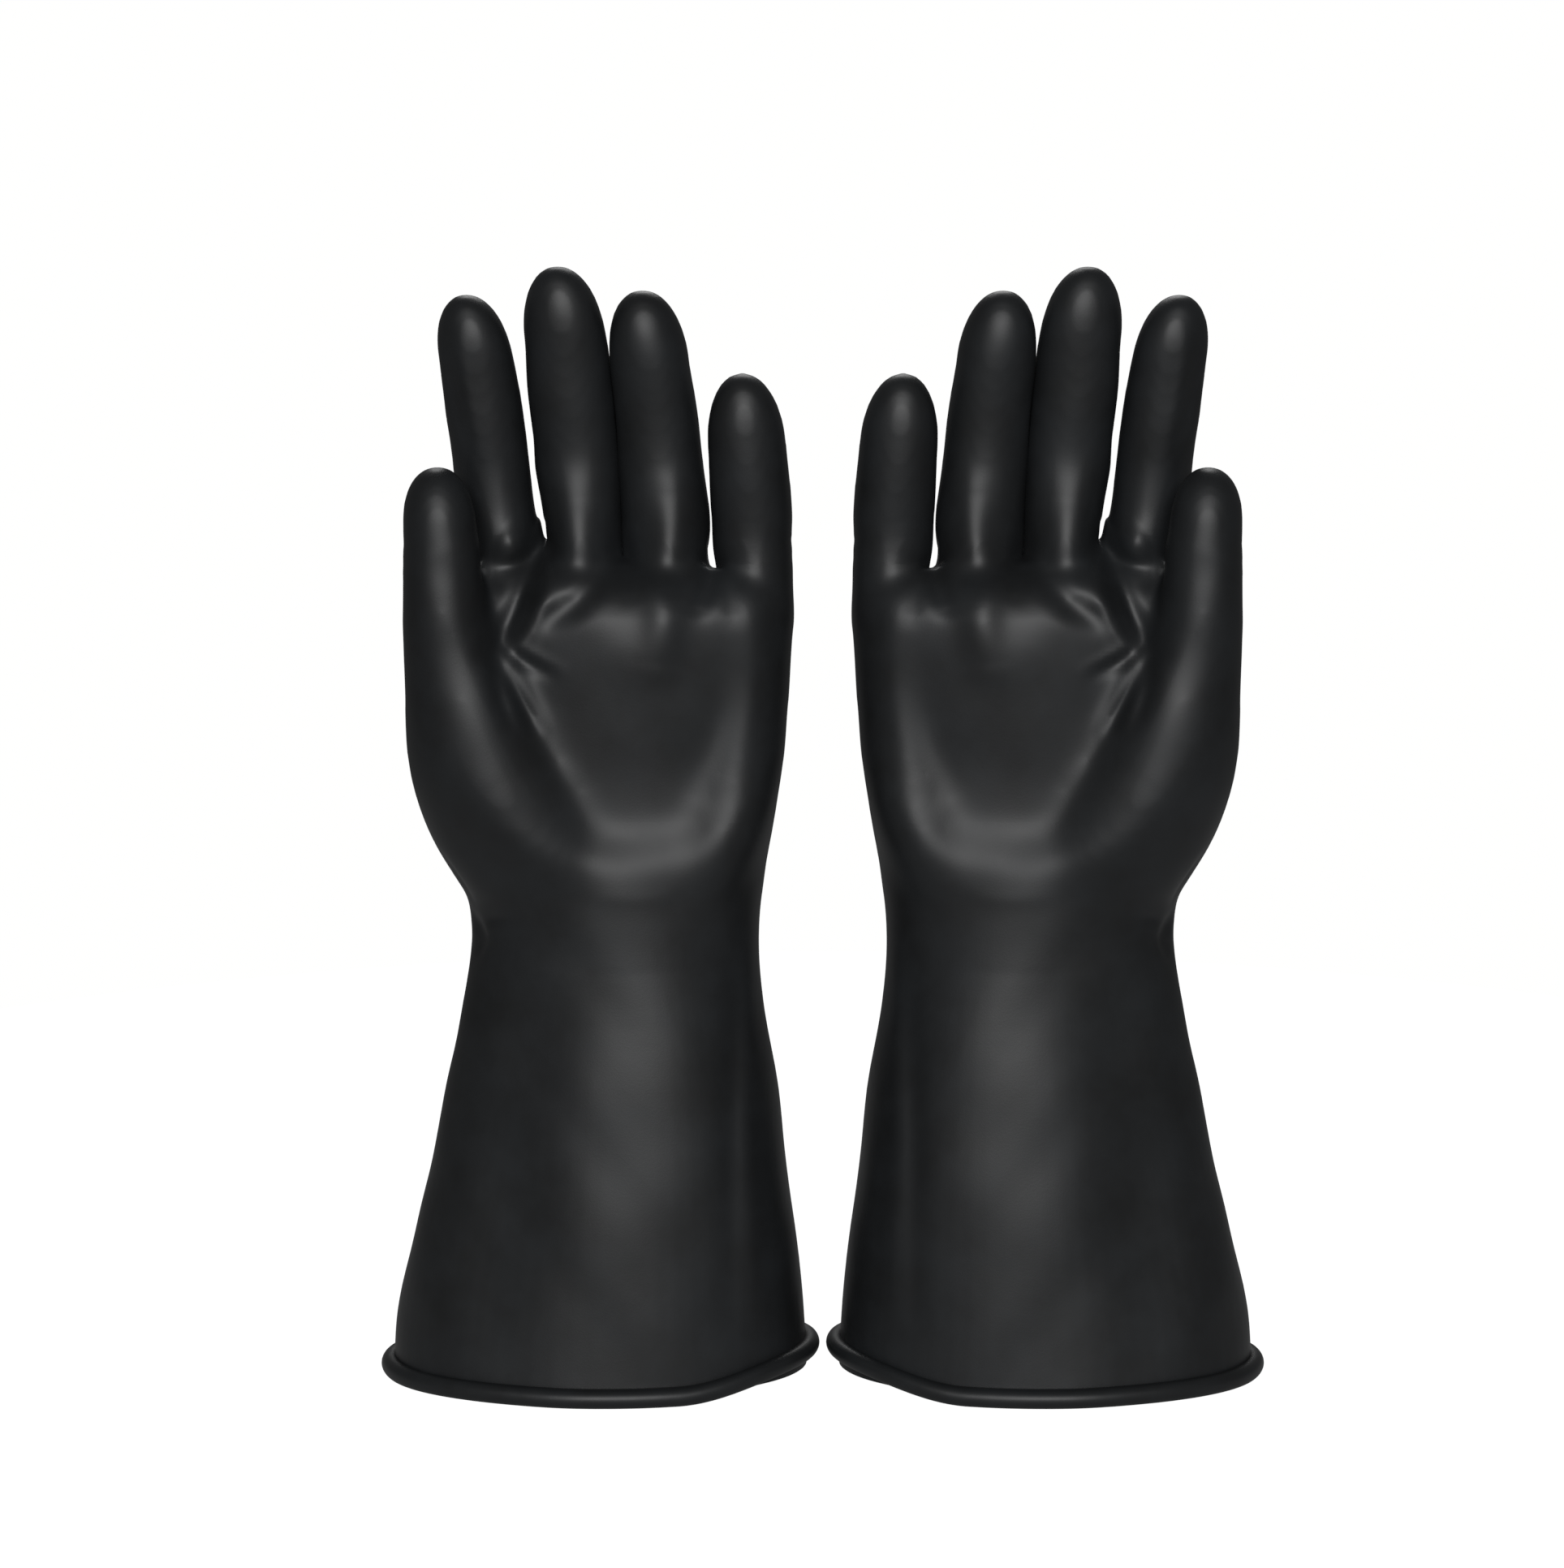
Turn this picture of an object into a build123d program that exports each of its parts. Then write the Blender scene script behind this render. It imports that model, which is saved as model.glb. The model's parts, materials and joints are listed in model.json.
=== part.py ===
"""A pair of electrical insulating gloves: dipped natural rubber, with flared gauntlets and rolled cuffs.

Each glove is one hollow rubber skin. It bends at the wrist, at the root of each finger and at the middle
of each finger, so it is divided there into sections, and each section is a solid of its own. A hinge line
lies on the palm side of every division, where the rubber creases when the hand closes.

The gloves stand on their rolled cuffs, palms towards -Y, with +Z towards the fingertips. The pair is
symmetrical about the plane X = 0. The left glove is on the -X side, and the right one is its mirror image.
Millimetres throughout. The origin is under the middle of the pair, on the surface that it stands on.
"""

import os

from build123d import *

# --- Driving dimensions --------------------------------------------------------------------------

WALL = 2.0  # thickness of the dipped rubber
SLIT = 0.6  # space left between two sections that bend on each other

PAIR_SPACING = 139.8  # from one glove's centre line to the other's

# The gauntlet, which goes over the sleeve of a jacket. Half widths are along X, half depths along Y.
CUFF_HALF_WIDTH = 64.0
CUFF_HALF_DEPTH = 46.0
FOREARM_HEIGHT = 85.0
FOREARM_HALF_WIDTH = 55.1
FOREARM_HALF_DEPTH = 37.5
FOREARM_SHIFT = 2.2  # how far this section's middle lies towards the little finger
WRIST_HEIGHT = 147.0
WRIST_HALF_WIDTH = 45.3
WRIST_HALF_DEPTH = 29.5
WRIST_SHIFT = 3.8

# The rolled cuff edge.
BEAD_RADIUS = 4.0
BEAD_FLAT = 0.4  # how much of the roll's underside is pressed flat where the glove stands

# The palm and back of the hand, without the thumb. A rise is a height above the wrist.
HEEL_RISE = 33.0
HEEL_HALF_WIDTH = 48.8
HEEL_HALF_DEPTH = 29.0
HEEL_SHIFT = 4.6
PALM_RISE = 73.0
PALM_HALF_WIDTH = 52.6
PALM_HALF_DEPTH = 25.0
PALM_SHIFT = 5.8
KNUCKLE_RISE = 115.0
KNUCKLE_HALF_WIDTH = 53.6
KNUCKLE_HALF_DEPTH = 15.5
KNUCKLE_SHIFT = 7.2
KNUCKLE_SLOPE = 6.5  # degrees by which the line of the knuckles falls towards the little finger
DIVISION_RISE = 99.5  # where the palm ends and the knuckles begin, above the thumb's root

# The ball of the thumb, as circles whose middles climb from the heel of the hand to the thumb's root.
BALL_SECTIONS = (
    # (across, forward, rise), radius
    ((-25.0, -6.0, 16.0), 19.5),
    ((-41.5, -18.0, 53.0), 17.8),
)

# Every digit: the middle of its root and the top of its tip, as (across, forward, rise), its radius at
# the root, at its middle crease and at the start of its domed tip, and how far its crease is from its root.
DIGITS = {
    "thumb": ((-48.8, -31.0, 96.0), (-52.6, -37.5, 148.0), 13.6, 12.7, 11.6, 25.0),
    "index": ((-31.5, 0.0, 125.0), (-41.0, -9.0, 204.0), 12.0, 11.8, 11.0, 37.0),
    "middle": ((-5.5, 1.5, 126.0), (-13.0, -9.0, 212.6), 12.3, 12.2, 11.2, 41.0),
    "ring": ((20.4, 1.0, 123.0), (13.8, -9.0, 205.0), 12.4, 12.2, 11.0, 39.0),
    "little": ((47.7, -1.5, 115.0), (44.4, -10.0, 179.5), 11.9, 11.5, 10.2, 30.0),
}
FINGERS = ("index", "middle", "ring", "little")
SOCKET_LENGTH = 14.0  # how far a finger's tube reaches down into the hand

# --- Places worked out from them -----------------------------------------------------------------

GLOVE_X = -PAIR_SPACING / 2  # the left glove's centre line
BEAD_HEIGHT = BEAD_RADIUS - BEAD_FLAT  # height of the middle of the roll

LEFT = Plane(origin=(GLOVE_X, 0, 0))  # the left glove's own frame
WRIST = LEFT.offset(WRIST_HEIGHT)  # the hand is laid out from here


def digit_plane(digit):
    """The plane across a digit's root: Z runs along the digit, and X is its hinge line."""
    root, tip = DIGITS[digit][:2]
    along = (Vector(*tip) - Vector(*root)).normalized()
    if digit == "thumb":  # it closes across the palm, so its hinge line runs from front to back
        hinge = Vector(0, along.Z, -along.Y).normalized()
    else:  # it closes forwards, so its hinge line runs from side to side
        hinge = Vector(along.Z, 0, -along.X).normalized()
    return Plane(origin=WRIST.origin + Vector(*root), x_dir=hinge, z_dir=along)


def digit_length(digit):
    root, tip = DIGITS[digit][:2]
    return (Vector(*tip) - Vector(*root)).length


def hinge_lines():
    """Every bend of the left glove: the section that moves, a point on its hinge line and the direction.

    Turning a section about its line by the right-hand rule closes the hand.
    """
    wrist = WRIST.origin + Vector(WRIST_SHIFT, -WRIST_HALF_DEPTH, 0)
    lines = {"palm": (wrist, Vector(1, 0, 0))}
    for digit, (_, _, root_radius, crease_radius, _, crease) in DIGITS.items():
        plane = digit_plane(digit)
        palm_side = plane.x_dir.cross(plane.z_dir)
        at_root = plane.origin + palm_side * root_radius
        at_crease = plane.origin + plane.z_dir * crease + palm_side * crease_radius
        lines[f"{digit}_base"] = (at_root, plane.x_dir)
        lines[f"{digit}_tip"] = (at_crease, plane.x_dir)
    return lines


# --- Shapes that several sections share ----------------------------------------------------------


def oval_plane(height, shift, slope=0.0):
    """The plane of one oval section of the left glove, which may fall towards the little finger."""
    middle = LEFT.origin + Vector(shift, 0, height)
    return Plane(origin=middle, x_dir=(1, 0, 0), z_dir=(0, 0, 1)).rotated((0, slope, 0))


def tube_outline(sections, thinner=0.0):
    """A loft through oval sections: each is a plane, a half width and a half depth."""
    with BuildPart() as tube:
        for plane, half_width, half_depth in sections:
            with BuildSketch(plane):
                Ellipse(half_width - thinner, half_depth - thinner)
        loft()
    return tube.part


def hollow_digit_section(plane, profile):
    """A round shell about the plane's Z axis.

    The profile is the list of (radius, height) points of its outer surface, from the open lower end up.
    A last radius of zero means a closed, domed tip; otherwise the upper end is open too.
    """
    closed = profile[-1][0] == 0
    wall_plane = Plane(origin=plane.origin, x_dir=plane.x_dir, z_dir=-plane.y_dir)
    with BuildPart() as section:
        with BuildSketch(wall_plane):
            with BuildLine():
                if closed:
                    (r0, h0), (r1, h1), (_, top) = profile
                    Polyline((r1 - WALL, h1), (r0 - WALL, h0), (r0, h0), (r1, h1))
                    CenterArc((0, h1), r1, 0, 90)
                    Line((0, top), (0, top - WALL))
                    CenterArc((0, h1), r1 - WALL, 0, 90)
                else:
                    (r0, h0), (r1, h1) = profile
                    Polyline((r0 - WALL, h0), (r0, h0), (r1, h1), (r1 - WALL, h1), close=True)
            make_face()
        revolve(axis=Axis(plane.origin, plane.z_dir))
    return section.part


pieces = {}  # the left glove's sections by name


def keep(name, part):
    part.label = f"left_{name}"
    pieces[name] = part


# --- Gauntlet ------------------------------------------------------------------------------------

gauntlet_sections = (
    (oval_plane(BEAD_HEIGHT, 0), CUFF_HALF_WIDTH, CUFF_HALF_DEPTH),
    (oval_plane(FOREARM_HEIGHT, FOREARM_SHIFT), FOREARM_HALF_WIDTH, FOREARM_HALF_DEPTH),
    (oval_plane(WRIST_HEIGHT - SLIT / 2, WRIST_SHIFT), WRIST_HALF_WIDTH, WRIST_HALF_DEPTH),
)

with BuildPart() as gauntlet:
    add(tube_outline(gauntlet_sections))
    add(tube_outline(gauntlet_sections, thinner=WALL), mode=Mode.SUBTRACT)
keep("gauntlet", gauntlet.part)

# --- Cuff bead: the edge of the gauntlet rolled outwards on itself -------------------------------

with BuildPart() as cuff_bead:
    with BuildLine(LEFT.offset(BEAD_HEIGHT)) as roll_path:
        EllipticalCenterArc((0, 0), CUFF_HALF_WIDTH, CUFF_HALF_DEPTH, arc_size=360)
    roll_start = Plane(origin=roll_path.line @ 0, z_dir=roll_path.line % 0)
    with BuildSketch(roll_start):
        Circle(BEAD_RADIUS)
    sweep(path=roll_path.line)
    # The foot is pressed flat, and the gauntlet's edge fills the groove in the top of the roll.
    split(bisect_by=Plane.XY, keep=Keep.TOP)
    add(gauntlet.part, mode=Mode.SUBTRACT)
keep("cuff_bead", cuff_bead.part)

# --- Hand: palm and knuckles, the ball of the thumb and a socket for each digit ------------------

palm_sections = (
    (oval_plane(WRIST_HEIGHT + SLIT / 2, WRIST_SHIFT), WRIST_HALF_WIDTH, WRIST_HALF_DEPTH),
    (oval_plane(WRIST_HEIGHT + HEEL_RISE, HEEL_SHIFT), HEEL_HALF_WIDTH, HEEL_HALF_DEPTH),
    (oval_plane(WRIST_HEIGHT + PALM_RISE, PALM_SHIFT), PALM_HALF_WIDTH, PALM_HALF_DEPTH),
)
knuckle_plane = oval_plane(WRIST_HEIGHT + KNUCKLE_RISE, KNUCKLE_SHIFT, KNUCKLE_SLOPE)


def hand_outline(thinner=0.0):
    """The outside of the hand, or its inside when it is made thinner by the wall."""
    # The inside stops a wall below the knuckles, which leaves the webs between the fingers.
    knuckle_section = (knuckle_plane.offset(-thinner), KNUCKLE_HALF_WIDTH, KNUCKLE_HALF_DEPTH)
    with BuildPart() as outline:
        add(tube_outline(palm_sections + (knuckle_section,), thinner))
        for finger in FINGERS:
            root_radius = DIGITS[finger][2]
            with BuildSketch(digit_plane(finger).offset(-SLIT / 2)):
                Circle(root_radius - thinner)
            extrude(amount=-SOCKET_LENGTH)
        add(ball_of_thumb(thinner))
    return outline.part


def ball_of_thumb(thinner):
    """A loft from the heel of the hand up to the thumb's root."""
    root = digit_plane("thumb").offset(-SLIT / 2)
    root_radius = DIGITS["thumb"][2]
    with BuildPart() as ball:
        for (across, forward, rise), radius in BALL_SECTIONS:
            with BuildSketch(WRIST.offset(rise)):
                with Locations((across, forward)):
                    Circle(radius - thinner)
        with BuildSketch(root):
            Circle(root_radius - thinner)
        loft()
    return ball.part


with BuildPart() as hand:
    add(hand_outline())
    add(hand_outline(thinner=WALL), mode=Mode.SUBTRACT)

# The palm carries the ball of the thumb, and the knuckles carry the fingers' sockets. They meet face to face.
for name, side in (("palm", Keep.BOTTOM), ("knuckles", Keep.TOP)):
    with BuildPart() as hand_section:
        add(hand.part)
        split(bisect_by=WRIST.offset(DIVISION_RISE), keep=side)
    keep(name, hand_section.part)

# --- Digits: a base section and a domed tip section each -----------------------------------------

for digit, (_, _, root_radius, crease_radius, dome_radius, crease) in DIGITS.items():
    plane = digit_plane(digit)
    length = digit_length(digit)
    base_profile = [(root_radius, SLIT / 2), (crease_radius, crease - SLIT / 2)]
    tip_profile = [(crease_radius, crease + SLIT / 2), (dome_radius, length - dome_radius), (0, length)]
    keep(f"{digit}_base", hollow_digit_section(plane, base_profile))
    keep(f"{digit}_tip", hollow_digit_section(plane, tip_profile))

# --- The right glove is the left one's mirror image ----------------------------------------------

os.makedirs("parts", exist_ok=True)
for name, left_part in pieces.items():
    export_step(left_part, f"parts/left_{name}.step")
    right_part = mirror(left_part, about=Plane.YZ)
    right_part.label = f"right_{name}"
    export_step(right_part, f"parts/right_{name}.step")

for name, (point, direction) in hinge_lines().items():
    print(f"left_{name} turns about {tuple(point)} along {tuple(direction)}")
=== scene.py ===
# %% [markdown]
# # A pair of electrical insulating gloves
# Each glove is one thick skin of natural rubber. A hand-shaped former was dipped into latex again and again,
# the edge of the cuff was rolled outwards on itself, and the whole was cured in one piece. So nothing is
# sewn or fastened, and the looks are in two things: the folds of the rubber, and how a satin black surface
# takes the light. This script builds the skin of the left glove, works the folds into it, cuts it between
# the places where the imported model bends, and mirrors the pieces for the right glove.

import json
from math import atan2, cos, hypot, pi, radians, sin

import bmesh
import bpy
import numpy as np
from mathutils import Matrix, Vector


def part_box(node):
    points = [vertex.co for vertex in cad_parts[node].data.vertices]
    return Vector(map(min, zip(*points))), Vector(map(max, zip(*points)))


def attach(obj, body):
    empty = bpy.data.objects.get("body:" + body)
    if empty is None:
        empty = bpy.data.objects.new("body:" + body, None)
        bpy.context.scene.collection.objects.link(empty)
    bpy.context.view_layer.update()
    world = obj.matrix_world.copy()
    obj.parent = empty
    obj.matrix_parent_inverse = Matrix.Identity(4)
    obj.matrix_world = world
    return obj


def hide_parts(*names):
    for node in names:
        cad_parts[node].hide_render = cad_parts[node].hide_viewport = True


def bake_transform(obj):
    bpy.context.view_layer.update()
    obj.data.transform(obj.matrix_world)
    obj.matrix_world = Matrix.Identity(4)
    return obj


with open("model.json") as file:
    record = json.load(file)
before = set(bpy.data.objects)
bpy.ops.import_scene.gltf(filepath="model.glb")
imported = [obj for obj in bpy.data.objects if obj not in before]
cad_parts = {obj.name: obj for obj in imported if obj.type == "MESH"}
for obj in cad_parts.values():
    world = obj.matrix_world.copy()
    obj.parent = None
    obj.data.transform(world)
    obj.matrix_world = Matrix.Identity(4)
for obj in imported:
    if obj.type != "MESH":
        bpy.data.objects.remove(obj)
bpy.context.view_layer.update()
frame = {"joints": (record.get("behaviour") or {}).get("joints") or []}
MM = 0.001
JOINTS = {joint["name"]: joint for joint in frame["joints"]}
DIGITS = ("thumb", "index", "middle", "ring", "little")

# %% [markdown]
# ## The left glove's own frame
# Sizes below are in millimetres, as a mould maker would give them: x runs across the glove from its centre
# line towards the little finger, y from the palm side to the back, and z up from the surface that the glove
# stands on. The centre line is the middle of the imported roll, so the frame says where the glove stands.

# %% From the glove's millimetres to the frame's metres
roll_low, roll_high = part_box("left_cuff_bead")
GLOVE_X = (roll_low.x + roll_high.x) / 2 / MM
WALL = 2.0
print("the left glove's centre line is at x =", round(GLOVE_X, 2), "mm")


def place(x, y, z):
    """A point of the left glove, in metres in the frame."""
    return Vector((GLOVE_X + x, y, z)) * MM


# %% [markdown]
# ## Rings and tubes
# An organic form could be one low cage under a subdivision surface. Here it is built up as a former is: a
# tube for the sleeve and the hand, and a tube for each digit that starts deep inside the palm. A tube is a
# circle extruded from ring to ring, and each ring is an oval with a middle, a half width and a half depth.
# Only a few rings are given for each tube, and a curve through them gives the ones in between.

# %% A tube through oval rings
RING_SIDES = 64
RINGS_BETWEEN = 4


def through(values, steps):
    """A smooth (Catmull-Rom) curve through rows of numbers, with so many steps from each row to the next."""
    values = [np.array(row, float) for row in values]
    padded = [values[0]] + values + [values[-1]]
    rows = []
    for before, low, high, after in zip(padded, padded[1:], padded[2:], padded[3:]):
        for t in np.arange(steps) / steps:
            linear_part = (high - before) * t
            square_part = (2 * before - 5 * low + 4 * high - after) * t**2
            cube_part = (3 * low - before - 3 * high + after) * t**3
            rows.append(low + 0.5 * (linear_part + square_part + cube_part))
    return rows + [values[-1]]


def dome(last_ring, tip, steps=8, fullness=0.93):
    """Rings that close a digit over its tip. The lower the fullness, the blunter the tip."""
    x, y, z, half_width, half_depth = last_ring
    rings = []
    for step in range(1, steps + 1):
        angle = pi / 2 * step / (steps + 0.3)
        rise, shrink = sin(angle) ** fullness, cos(angle) ** fullness
        middle = [a + (b - a) * rise for a, b in zip((x, y, z), tip)]
        rings.append((*middle, half_width * shrink, half_depth * shrink))
    return rings


def add_tube(bm, rings):
    """Extrudes a circle through the rings, and closes both ends."""
    matrices = []
    for x, y, z, half_width, half_depth in rings:
        size = Matrix.Diagonal((half_width * MM, half_depth * MM, MM, 1.0))
        matrices.append(Matrix.Translation(place(x, y, z)) @ size)
    circle = bmesh.ops.create_circle(bm, cap_ends=True, radius=1.0, segments=RING_SIDES, matrix=matrices[0])
    edges = list({edge for vert in circle["verts"] for edge in vert.link_edges})
    for low, high in zip(matrices, matrices[1:]):
        extruded = bmesh.ops.extrude_edge_only(bm, edges=edges)["geom"]
        verts = [item for item in extruded if isinstance(item, bmesh.types.BMVert)]
        edges = [item for item in extruded if isinstance(item, bmesh.types.BMEdge)]
        bmesh.ops.transform(bm, matrix=high @ low.inverted(), verts=verts)
    bmesh.ops.holes_fill(bm, edges=edges, sides=0)


# %% [markdown]
# ## The sleeve, the palm and the five digits
# The sleeve is wide at the cuff and narrows to the wrist. The hand widens again and thins towards the
# knuckles, which lie a little forward. The fingers lean towards the thumb and curl forwards, and the thumb
# stands in front of the palm, with its ball running down to the wrist.

# %% Rings of each tube: x, y, z, half width, half depth
SLEEVE_AND_HAND = (
    (-2.9, 0.5, -6.0, 67.6, 44.8),
    (-2.8, 0.5, 4.0, 67.2, 44.4),
    (-2.2, 0.5, 25.0, 65.2, 42.6),
    (-0.8, 0.3, 45.0, 62.0, 40.4),
    (0.7, 0.2, 71.0, 57.7, 37.8),
    (2.0, 0.0, 95.0, 53.5, 34.8),
    (2.4, 0.0, 120.0, 48.8, 31.6),
    (3.0, 0.0, 143.0, 46.2, 29.8),
    (3.0, 0.0, 158.0, 47.4, 29.6),
    (4.4, 0.0, 178.0, 50.4, 28.8),
    (5.6, -0.4, 200.0, 51.8, 27.4),
    (6.8, -3.4, 222.0, 52.2, 25.0),
    (8.0, -6.8, 243.0, 52.4, 21.8),
    (8.8, -6.6, 257.0, 51.8, 18.4),
    (7.0, -3.0, 266.0, 46.5, 12.0),
)
DIGIT_RINGS = {
    "thumb": (
        (-10.0, 0.0, 150.0, 28.0, 22.0),
        (-17.5, -4.5, 166.0, 32.0, 25.5),
        (-27.0, -9.6, 187.0, 32.1, 26.4),
        (-38.0, -14.5, 207.0, 25.0, 22.5),
        (-43.6, -18.4, 227.0, 18.9, 18.0),
        (-48.2, -21.0, 246.0, 14.0, 14.4),
        (-49.1, -22.0, 262.0, 12.7, 12.9),
        (-49.7, -22.5, 278.0, 11.8, 12.0),
    ),
    "index": (
        (-26.0, 0.0, 236.0, 12.4, 11.0),
        (-29.4, -0.8, 262.0, 12.2, 14.0),
        (-32.8, -1.7, 280.0, 11.9, 12.8),
        (-35.1, -3.0, 296.0, 12.0, 12.2),
        (-36.9, -6.4, 314.0, 12.5, 12.0),
        (-38.5, -10.0, 329.0, 12.0, 11.5),
    ),
    "middle": (
        (-4.4, 0.5, 236.0, 12.0, 11.0),
        (-5.4, -0.8, 262.0, 12.0, 15.0),
        (-6.1, -2.0, 282.0, 12.9, 13.2),
        (-7.9, -2.8, 300.0, 13.7, 12.4),
        (-9.9, -6.0, 318.0, 14.0, 12.2),
        (-10.8, -9.6, 334.0, 13.2, 11.7),
    ),
    "ring": (
        (21.0, 0.4, 232.0, 12.6, 11.0),
        (20.4, -0.8, 260.0, 13.8, 15.0),
        (19.7, -2.2, 278.0, 14.2, 13.2),
        (18.5, -3.0, 296.0, 13.9, 12.4),
        (17.2, -6.2, 314.0, 13.4, 12.0),
        (15.6, -9.6, 328.0, 12.6, 11.5),
    ),
    "little": (
        (27.0, -3.0, 158.0, 17.0, 22.0),
        (36.0, -5.5, 177.0, 17.0, 21.5),
        (43.0, -6.0, 200.0, 15.0, 17.0),
        (46.4, -5.0, 226.0, 13.4, 14.4),
        (48.4, -3.6, 250.0, 12.6, 12.8),
        (48.4, -3.6, 270.0, 12.4, 12.2),
        (47.2, -6.0, 287.0, 12.8, 12.0),
        (46.0, -9.0, 303.0, 12.4, 11.4),
    ),
}
TIPS = {
    "thumb": (-50.6, -22.8, 297.7),
    "index": (-41.4, -14.8, 350.8),
    "middle": (-13.2, -15.2, 359.6),
    "ring": (13.8, -14.0, 352.0),
    "little": (44.6, -13.0, 326.4),
}

# %% [markdown]
# ## Fusing the tubes into one skin
# The Remesh modifier in voxel mode keeps only the outside of all that overlaps, as an even sheet of small
# squares. A smaller voxel would hold finer folds and make a heavier mesh. This one leaves each finished
# piece, with both faces of its wall, below 200,000 triangles. The modifier also closes any gap under about
# two voxels, and these digits stand closer than that, so they are spread sideways before they are fused, and
# closed up again afterwards. The middle lines of the spread digits are kept for that.

# %% Fuse
VOXEL = 1.3
SPREAD = {"thumb": -7.0, "index": -5.0, "middle": 0.0, "ring": 6.5, "little": 11.5}
SPREAD_FROM = 261.0  # height at which the fingers start to spread
SPREAD_OVER = 15.0  # and how much higher they have spread in full


def spread_share(z):
    """How much of its spread a digit has at a height."""
    t = np.clip((z - SPREAD_FROM) / SPREAD_OVER, 0.0, 1.0)
    return t * t * (3 - 2 * t)


def as_object(bm, name):
    """A new object that holds a bmesh, which is freed."""
    mesh = bpy.data.meshes.new(name)
    bm.to_mesh(mesh)
    bm.free()
    made = bpy.data.objects.new(name, mesh)
    bpy.context.scene.collection.objects.link(made)
    return made


clay = bmesh.new()
add_tube(clay, through(SLEEVE_AND_HAND, RINGS_BETWEEN))
spread_middles = {}
for digit in DIGITS:
    rings = through(DIGIT_RINGS[digit], RINGS_BETWEEN) + dome(DIGIT_RINGS[digit][-1], TIPS[digit])
    rings = [(ring[0] + SPREAD[digit] * spread_share(ring[2]), *ring[1:]) for ring in rings]
    add_tube(clay, rings)
    spread_middles[digit] = [ring[:3] for ring in rings]
bmesh.ops.recalc_face_normals(clay, faces=clay.faces)
lump = as_object(clay, "tubes")
remesh = lump.modifiers.new("Remesh", "REMESH")
remesh.mode = "VOXEL"
remesh.voxel_size = VOXEL * MM
skin = bpy.data.meshes.new_from_object(lump.evaluated_get(bpy.context.evaluated_depsgraph_get()))
bpy.data.objects.remove(lump)
print("the fused skin has", len(skin.vertices), "points")

# %% [markdown]
# ## Brushes
# The rest is sculpting. In the editor it would be strokes of the Draw, Crease and Smooth brushes. Here a
# stroke is a few points seen from one side, a reach to each side of the line, and how deep it presses. It
# moves only the points that face its side, and a negative depth raises the rubber. The Smooth brush moves
# each point towards the middle of its neighbours. All the points are in one numpy array, which is quick.

# %% The points of the skin, and the brushes
PALM_SIDE = np.array((0.0, -1.0, 0.0))
THUMB_SIDE = np.array((-1.0, 0.0, 0.0))

count = len(skin.vertices)
flat = np.empty(count * 3)
skin.vertices.foreach_get("co", flat)
points = flat.reshape(-1, 3) / MM - np.array((GLOVE_X, 0.0, 0.0))
pairs = np.empty(len(skin.edges) * 2, int)
skin.edges.foreach_get("vertices", pairs)
pairs = pairs.reshape(-1, 2)
neighbours = np.bincount(pairs.ravel(), minlength=count)[:, None]


def read_normals():
    """Puts the moved points into the skin, and gives each point's normal."""
    skin.vertices.foreach_set("co", ((points + np.array((GLOVE_X, 0.0, 0.0))) * MM).ravel())
    skin.update()
    found = np.empty(count * 3, np.float32)
    skin.vertex_normals.foreach_get("vector", found)
    return found.reshape(-1, 3).astype(float)


def ease(value, low, high):
    """0 below low, 1 above high, and smooth between."""
    t = np.clip((value - low) / (high - low), 0.0, 1.0)
    return t * t * (3 - 2 * t)


def around(spot, radius):
    """1 at a spot, falling smoothly to 0 at a radius from it."""
    return 1 - ease(np.linalg.norm(points - np.array(spot), axis=1), radius * 0.4, radius)


def smooth(strength, times):
    """The Smooth brush, over and over."""
    for _ in range(times):
        total = np.zeros_like(points)
        for here, there in (pairs.T, pairs.T[::-1]):
            for axis in range(3):
                total[:, axis] += np.bincount(here, points[there, axis], count)
        points[:] += 0.5 * strength[:, None] * (total / neighbours - points)


def line_distance(places, line):
    """How far places are from a line, and how far along it each lies, from 0 to 1."""
    line = np.array(line)
    lengths = np.linalg.norm(line[1:] - line[:-1], axis=1)
    best = np.full(len(places), np.inf)
    along = np.zeros(len(places))
    done = 0.0
    for start, end, length in zip(line, line[1:], lengths):
        t = np.clip((places - start) @ (end - start) / length**2, 0.0, 1.0)
        distance = np.linalg.norm(places - (start + t[:, None] * (end - start)), axis=1)
        closer = distance < best
        best[closer] = distance[closer]
        along[closer] = (done + t * length)[closer] / lengths.sum()
        done += length
    return best, along


def stroke(line, reach, depth, side=PALM_SIDE):
    """Presses the rubber along a line, given as (across, height) points seen from one side, in mm."""
    across = 1 if abs(side[0]) > 0.5 else 0
    distance, along = line_distance(points[:, [across, 2]], through(line, 6))
    strength = np.exp(-((distance / reach) ** 2))
    strength *= np.sin(pi * (0.08 + 0.84 * along)) ** 0.8  # the stroke fades towards both of its ends
    facing = ease(normals @ side, 0.1, 0.6)
    points[:] -= np.outer(strength * facing * depth, side)


# %% [markdown]
# ## Closing the fingers, and rounding off the joins
# Each point goes back by the spread of the digit whose middle line is nearest to it. The web beside the index
# finger sits a little higher than the fused one, and the web beside the little finger lower. Where two tubes
# met, the sheet has a sharp valley, so the webs, the crotch of the thumb and the ball of the thumb are
# smoothed until they flow.

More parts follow.
